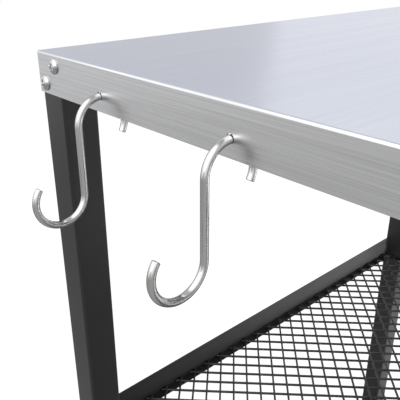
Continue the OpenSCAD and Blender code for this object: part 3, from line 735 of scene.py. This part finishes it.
mesh_coat = coated(
    "mesh_coat", (0.03, 0.03, 0.031), (0.042, 0.042, 0.043), rough=0.4, relief=0.00001)
strand_pitch = 0.01545
strand_w = 0.0021
strand_t = 0.0027
shortest_strand = 0.006
net_half = np.array([0.9073, 0.6033]) / 2
net_notch = 0.0305
net_middle = origin[:2] + table_size[:2] / 2
diagonal = np.sqrt(0.5)
families = ((0, 0.0079, (diagonal, diagonal)), (0.0001, 0.0066, (diagonal, -diagonal)))
for shelf, rim_bottom in rim_bottoms.items():
    shells = []
    for lift, first, along in families:
        along = np.array(along)
        across = np.array([-along[1], along[0]])
        count = int(net_half.sum() * diagonal / strand_pitch) + 1
        z = rim_bottom + rail_t + lift
        for offset in first + np.arange(-count, count) * strand_pitch:
            for low, high in net_stretches(offset, along, across, net_half, net_notch):
                if high - low < shortest_strand:
                    continue
                middle = net_middle + offset * across
                start = middle + (low + strand_w / 2) * along
                end = middle + (high - strand_w / 2) * along
                shells.append(strand(start, end, z, strand_w, strand_t))
    piece(shelf + "_shelf_net", shells, mesh_coat, "cart", [shelf + "_shelf_mesh"])


# Side handle
# One 19 mm steel tube bent twice and welded all round to a 3 mm plate at each end; each plate is
# held on the outer face of a right-hand leg by two screws. Powder coated with the legs.
def ring_shell(points):
    """The closed ring of a grid of points (n, m, 3), whose last row joins its first."""
    rows, sides = points.shape[:2]
    j = np.arange(sides)
    k = (j + 1) % sides
    last = (rows - 1) * sides
    join = np.stack([last + j, last + k, k, j], -1)
    return points.reshape(-1, 3), [ring_faces(rows, sides)[0], join]


def lathe(profile, sides, closed=False):
    """A profile of (radius, height) pairs turned about Z.

    A closed profile makes a ring, and an open one is capped at both ends.
    """
    r, z = np.asarray(profile, float).T[..., None]
    turn = np.linspace(0, 2 * np.pi, sides, endpoint=False)
    points = np.stack([r * np.cos(turn), r * np.sin(turn), z + 0 * turn], -1)
    return ring_shell(points) if closed else (points.reshape(-1, 3), ring_faces(len(r), sides))


def weld_ring(inner, leg, ripples, sides=144):
    """A fillet weld round a tube: a hollow triangle whose equal legs swell at each ripple."""
    hollow = 0.85
    swell = 0.12
    sunk_in, sunk_down = 0.0005, 0.0004
    angle = np.linspace(0, np.pi / 2, 7)[:, None]
    turn = np.linspace(0, 2 * np.pi, sides, endpoint=False)
    size = leg * (1 + swell * np.cos(ripples * turn))
    r = inner + size * (1 - hollow * np.sin(angle))
    z = size * (1 - hollow * np.cos(angle))
    r = np.concatenate([r, np.full((1, sides), inner - sunk_in)])
    z = np.concatenate([z, np.full((1, sides), -sunk_down)])
    return ring_shell(np.stack([r * np.cos(turn), r * np.sin(turn), z], -1))


handle_r = 0.0095
handle_reach = 0.062
bend_r = 0.035
handle_x = table_size[0] - leg_inset
run = table_size[1] - 2 * leg_mid
near_bend = arc((handle_reach - bend_r, bend_r), bend_r, -90, 0, 24)
far_bend = near_bend[::-1] * (1, -1) + (0, run)
line = np.concatenate([
    [(handle_plate_t / 2, 0)], near_bend, [(handle_reach, run / 2)], far_bend,
    [(handle_plate_t / 2, run)],
])
path = np.insert(line, 2, 0, axis=1) + origin + (handle_x, leg_mid, handle_z)
turn = np.linspace(0, 2 * np.pi, 40, endpoint=False)
shells = [sweep(path, (0, 0, 1), handle_r * np.stack([np.cos(turn), np.sin(turn)], 1))]
half_w, half_h = 0.0137, 0.032
blank = rounded(
    [(-half_w, -half_h), (half_w, -half_h), (half_w, half_h), (-half_w, half_h)], [0.0026] * 4)
handle_plate = plate(blank, 0, handle_plate_t, edge=0.0005)
weld, weld_faces = weld_ring(handle_r, leg=0.0028, ripples=22)
for y in (leg_mid, leg_mid + run):
    place = origin + (handle_x, y, handle_z)
    for points, faces in (handle_plate, (weld + (0, 0, handle_plate_t), weld_faces)):
        shells.append((turned(points, (1, 0, 0), place), faces))
piece("side_handle_bar", shells, black_coat, "cart", ["side_handle"])


# Casters
# Plate-crown swivel casters, 75 mm: a threaded stem with a pressed race and dust skirt, a ring of
# balls, and a zinc-plated fork of pressed steel that swivels on a riveted king pin. A bolt carries
# a ribbed plastic hub with a rubber tyre, and the two at the right have a pedal brake.
wheel_r = 0.0375
trail = 0.03
fork_t = 0.0025
crown_top = 0.083
race_low = 0.087
race_high = 0.0895
cheek_in = 0.0135
cheek_mid = cheek_in + fork_t / 2
cheek_out = cheek_in + fork_t
crown_r = 0.016
axle_boss_r = 0.009
brake_at = np.array([0.04933, 0.07714])


def round_bar(radius, low, high, chamfer, sides):
    """A turned pin between two heights, its ends chamfered."""
    tip = radius - chamfer
    profile = [(tip, low), (radius, low + chamfer), (radius, high - chamfer), (tip, high)]
    return lathe(profile, sides)


def hexagon(flats, low, high, top=True, bottom=True, sides=96):
    """A hexagon bar whose corners a shallow cone has turned off at the top, the bottom or both.

    The radius is the lesser of the hexagon's and the cone's.
    """
    half = flats / 2
    turn = np.linspace(0, 2 * np.pi, sides, endpoint=False)
    full = half / np.cos((turn + np.pi / 6) % (np.pi / 3) - np.pi / 6)
    cone_r = half * 0.96
    slope = 0.55
    steps = np.linspace(0, 1, 5)
    widen = half / np.cos(np.pi / 6) - cone_r
    cone = np.minimum(full, cone_r + widen * steps[:, None])
    drop = slope * widen * steps
    r = np.concatenate([cone if bottom else full[None], cone[::-1] if top else full[None]])
    z = np.concatenate([low + drop if bottom else [low], high - drop[::-1] if top else [high]])
    points = np.stack([r * np.cos(turn), r * np.sin(turn), z[:, None] + 0 * r], -1)
    return points.reshape(-1, 3), ring_faces(len(r), sides)


def tangent_point(point, centre, radius, side):
    """Where the tangent from a point touches a circle, on one side of it."""
    v = np.asarray(point, float) - centre
    angle = np.arctan2(v[1], v[0]) + side * np.arccos(radius / np.hypot(*v))
    return centre + radius * np.array([np.cos(angle), np.sin(angle)])


def fork_shells(braked):
    """The pressed fork round the swivel axis: one strip bent to a U, as wide as its height asks.

    At each point of the U the strip runs in X between the front and the back edge of the cheek's
    outline: the crown's width at the top, then the tangents to the round boss, then the boss.
    A braked fork has an ear on each cheek for the pin of the lever.
    """
    t = fork_t / 2
    nick = 0.0004
    fold_r = 0.00175
    axle = np.array([trail, wheel_r])
    front_low, back_top = np.array([-0.01, 0.0755]), np.array([0.016, 0.083])
    front_touch = tangent_point(front_low, axle, axle_boss_r, 1)
    back_touch = tangent_point(back_top, axle, axle_boss_r, -1)
    fold_z = crown_top - t - fold_r
    rise = 1 - np.cos(np.linspace(0.05, np.pi / 2, 14))
    heights = np.concatenate([
        axle[1] - axle_boss_r + rise * axle_boss_r, np.linspace(axle[1] + 0.001, fold_z, 30),
    ])
    cheek = np.stack([np.full(len(heights), -cheek_mid), heights], 1)
    fold = arc((-cheek_mid + fold_r, fold_z), fold_r, 180, 90, 8)[1:]
    over = np.linspace(-cheek_mid + fold_r, cheek_mid - fold_r, 25)[1:-1]
    over = np.stack([over, np.full(len(over), crown_top - t)], 1)
    line = np.concatenate([cheek, fold, over, (fold * (-1, 1))[::-1], (cheek * (-1, 1))[::-1]])
    y, z = line.T
    boss = np.sqrt(np.maximum(axle_boss_r ** 2 - (z - axle[1]) ** 2, 0))
    front_edge, back_edge = (
        np.interp(z, [touch[1], end[1]], [touch[0], end[0]])
        for touch, end in ((front_touch, front_low), (back_touch, back_top))
    )
    front = np.where(z < front_touch[1], axle[0] - boss, front_edge)
    back = np.where(z < back_touch[1], axle[0] + boss, back_edge)
    disc = np.sqrt(np.maximum(crown_r ** 2 - y ** 2, 0))
    front = np.where(z > crown_top - fork_t, np.minimum(front, -disc), front)
    near_front, near_back = front * 0.7 + back * 0.3, front * 0.3 + back * 0.7
    section = [(front, t - nick), (front, nick - t), (front + nick, -t), (near_front, -t),
               (near_back, -t), (back - nick, -t), (back, nick - t), (back, t - nick),
               (back - nick, t), (near_back, t), (near_front, t), (front + nick, t)]
    profile = np.stack([np.stack([x, np.full(len(x), depth)], 1) for x, depth in section], 1)
    shells = [sweep(np.insert(line, 0, 0, axis=1), (1, 0, 0), profile)]
    if braked:
        ear_r = 0.0065
        ear_half_t = 0.00115
        ear_top, ear_root = np.array([0.014, 0.0795]), np.array([0.021, 0.0605])
        upper = tangent_point(ear_top, brake_at, ear_r, -1)
        lower = tangent_point(ear_root, brake_at, ear_r, 1)
        start, end = (np.degrees(np.arctan2(*(p - brake_at)[::-1])) for p in (lower, upper))
        lobe = np.concatenate([[ear_top, ear_root], arc(brake_at, ear_r, start, end % 360, 24)])
        points, faces = plate(lobe, -ear_half_t, ear_half_t, edge=0.0003)
        x, z, depth = points.T
        for side in (-1, 1):
            shells.append((np.stack([x, side * cheek_mid + depth, z], 1), faces))
    return shells


def along_axle(shell, x, z):
    """A shell turned about Z, laid along Y through the point x, z, with its +Z end towards -Y."""
    points, faces = shell
    return turned(points, (0, -1, 0), (x, 0, z)), faces


skirt = [
    (0.0150, crown_top + 0.0003), (0.0157, crown_top + 0.0003), (0.016, crown_top + 0.0007),
    (0.016, race_low), (0.0157, race_high - 0.0008), (0.0148, race_high), (0.0038, race_high),
    (0.0038, race_low), (0.0132, race_low), (0.0146, race_low - 0.0006),
    (0.0148, race_low - 0.0016),
]
rivet_head = [
    (0.0046, 0.07785), (0.0061, 0.07805), (0.0065, 0.0786), (0.0065, 0.0798), (0.0062, 0.0802),
]
stem_shells = [
    hexagon(flats=0.017, low=race_high - 0.0002, high=race_high + 0.005, top=False),
    lathe(skirt, sides=72, closed=True),
    thread(radius=0.005, start=0.0944, end=0.118, pitch=0.0015, depth=0.0006, sides=28),
    round_bar(radius=0.004, low=0.0790, high=race_high, chamfer=0.0002, sides=40),
    lathe(rivet_head, sides=48),
]

tyre_half_w = 0.012
shoulder_r = 0.004
tread = [(0.02755, -tyre_half_w), (0.0325, -tyre_half_w), (0.0329, -0.0117), (0.0333, -tyre_half_w)]
bend = np.linspace(0.1, np.pi / 2, 8)
shoulder = np.stack([
    wheel_r - shoulder_r + shoulder_r * np.sin(bend),
    shoulder_r - tyre_half_w - shoulder_r * np.cos(bend),
], 1)
groove = [(wheel_r, -0.0056), (wheel_r - 0.0002, -0.0054), (wheel_r - 0.0004, -0.005),
          (wheel_r - 0.0002, -0.0046), (wheel_r, -0.0044)]
half_tyre = np.concatenate([tread, shoulder, groove])
tyre = np.concatenate([half_tyre, half_tyre[::-1] * (1, -1)])
tyre_shells = [lathe(tyre, sides=120, closed=True)]

boss_r = 0.01
hub_half = np.array([
    (0.00606, -0.0129), (0.00636, -0.0132), (boss_r - 0.0004, -0.0132), (boss_r, -0.0128),
    (boss_r + 0.0004, -0.0045), (boss_r + 0.0018, -0.003), (0.0212, -0.003), (0.0224, -0.0042),
    (0.0228, -0.0106), (0.0232, -0.011), (0.0271, -0.011), (0.0275, -0.0106),
])
hub = np.concatenate([hub_half, hub_half[::-1] * (1, -1)])
hub_shells = [lathe(hub, sides=96, closed=True)]
rib = np.array([
    (boss_r - 0.0006, 0.0026), (0.0236, 0.0026), (0.0236, 0.0082), (0.0215, 0.0086),
    (boss_r + 0.003, 0.0102), (boss_r - 0.0006, 0.0102),
])
rib_half_t = 0.0009
ribs = 8
rib_points, rib_faces = plate(rib, -rib_half_t, rib_half_t, edge=0.0003)
for number in range(ribs):
    spoke = 2 * np.pi * number / ribs
    c, s = np.cos(spoke), np.sin(spoke)
    for side in (-1, 1):
        x, y, z = rib_points[:, 0], rib_points[:, 2], side * rib_points[:, 1]
        hub_shells.append((np.stack([c * x - s * y, s * x + c * y, z], 1), rib_faces))

bolt_flats = 0.013
bolt_head_h, nut_h, bolt_past = 0.004, 0.005, 0.006
shank = round_bar(
    radius=0.00375, low=-cheek_out - overlap, high=cheek_out + 0.002, chamfer=0.0002, sides=36)
threaded = thread(
    0.004, start=-cheek_out - 0.0001, end=-cheek_out - bolt_past, pitch=0.00125, depth=0.0005,
    sides=36)
axle_shells = [
    hexagon(bolt_flats, cheek_out, cheek_out + bolt_head_h, bottom=False),
    hexagon(bolt_flats, -cheek_out - nut_h, -cheek_out),
    shank,
    threaded,
]

pin_end = cheek_out + 0.0004
pin_shells = [round_bar(radius=0.0025, low=-pin_end, high=pin_end, chamfer=0.0001, sides=32)]
head = [(0.0038, 0.0), (0.004, 0.0002), (0.004, 0.0007), (0.0036, 0.0012), (0.0026, 0.00145),
        (0.001, 0.0015)]
for side in (-1, 1):
    pin_shells.append(lathe([(r, side * (cheek_out + h)) for r, h in head], sides=40))


def lever_shells():
    """The brake lever round its pin: a sleeve, a pedal with a raised toe and ridges, and a shoe.

    Both arms are outlines in the X-Z plane, drawn out across the wheel.
    """
    half_w = 0.012
    pedal_l, rise, pin_r = 0.03, 0.006, 0.005
    sleeve = [(0.0027, -0.0129), (pin_r - 0.0004, -0.0132), (pin_r, -0.0128), (pin_r, 0.0128),
              (pin_r - 0.0004, 0.0132), (0.0027, 0.0129)]
    shells = [lathe(sleeve, sides=48, closed=True)]
    pedal_t = 0.0026
    top_line = np.array([(-0.0012, pin_r - 0.0002), (0.010, pin_r + rise * 0.3),
                         (0.020, pin_r + rise * 0.62), (pedal_l, pin_r + rise - 0.0008)])
    under = top_line - (0, pedal_t)
    under[0] = (-0.0012, pin_r - 0.0032)
    pedal = rounded(np.concatenate([under, top_line[::-1]]), [0, 0, 0, 0.0011, 0.0011, 0, 0, 0])
    shells.append(plate(pedal, -half_w, half_w, edge=0.0008))
    ridges, first_ridge, ridge_gap, ridge_sink = 5, 0.0125, 0.0034, 0.0004
    ridge = [(0.0004, 0.0022 - half_w), (0.0009, 0.0028 - half_w), (0.0009, half_w - 0.0028),
             (0.0004, half_w - 0.0022)]
    ridge, ridge_faces = lathe(ridge, sides=16)
    for x in first_ridge + ridge_gap * np.arange(ridges):
        z = np.interp(x, top_line[:, 0], top_line[:, 1]) - ridge_sink
        shells.append((ridge + (x, z, 0), ridge_faces))
    shoe_angle = np.radians(-40.9)
    shoe_in, shoe_out, shoe_half = 0.002, 0.0088, 0.00175
    shoe = rounded([(shoe_in, -shoe_half), (shoe_out, -shoe_half), (shoe_out, shoe_half),
                    (shoe_in, shoe_half)], [0, 0.0007, 0.0007, 0])
    c, s = np.cos(shoe_angle), np.sin(shoe_angle)
    shoe = shoe @ np.array([[c, s], [-s, c]])
    shells.append(plate(shoe, -half_w + 0.001, half_w - 0.001, edge=0.0005))
    return shells


tyre_rubber = coated(
    "tyre_rubber", (0.03, 0.03, 0.031), (0.048, 0.047, 0.046), rough=0.62, relief=0.00006)
hub_plastic = coated(
    "hub_plastic", (0.2, 0.205, 0.215), (0.245, 0.25, 0.26), rough=0.42, relief=0.000015)
brake_plastic = coated(
    "brake_plastic", (0.42, 0.028, 0.02), (0.52, 0.04, 0.028), rough=0.38, relief=0.000015)
ball_steel = steel_finish(
    "ball_steel", (0.62, 0.63, 0.64), (0.72, 0.73, 0.74), rough=(0.08, 0.16))
for corner in corners:
    flip = ("right" in corner, "back" in corner, False)
    swivel = origin + np.where(flip, table_size - leg_mid, (leg_mid, leg_mid, 0)) * (1, 1, 0)
    braked = "right" in corner
    bolt, core, tyre = (
        [along_axle(shell, trail, wheel_r) for shell in shells]
        for shells in (axle_shells, hub_shells, tyre_shells)
    )
    turning, rolling, pressed = "swivel_" + corner, "wheel_" + corner, "brake_" + corner
    parts = [
        ("caster_mount_", stem_shells, plain_zinc, "cart", "plain_zinc", "caster_stem_"),
        ("fork_", fork_shells(braked), plain_zinc, turning, "plain_zinc", "caster_fork_"),
        ("axle_bolt_", bolt, plain_zinc, turning, "plain_zinc", "caster_axle_"),
        ("wheel_core_", core, hub_plastic, rolling, "hub_plastic", "caster_hub_"),
        ("tyre_", tyre, tyre_rubber, rolling, "tyre_rubber", "caster_tyre_"),
    ]
    if braked:
        lever, rivet = (
            [along_axle(shell, *brake_at) for shell in shells]
            for shells in (lever_shells(), pin_shells)
        )
        parts += [
            ("brake_pedal_", lever, brake_plastic, pressed, "brake_plastic", "brake_lever_"),
            ("brake_rivet_", rivet, plain_zinc, turning, "plain_zinc", "brake_pin_"),
        ]
    for name, shells, material, body, slot, node in parts:
        placed = [(points + swivel, faces) for points, faces in shells]
        piece(name + corner, placed, material, body, [node + corner])
    cad["caster_balls_" + corner].data.materials[0] = ball_steel
    cad["caster_bush_" + corner].data.materials[0] = plain_zinc
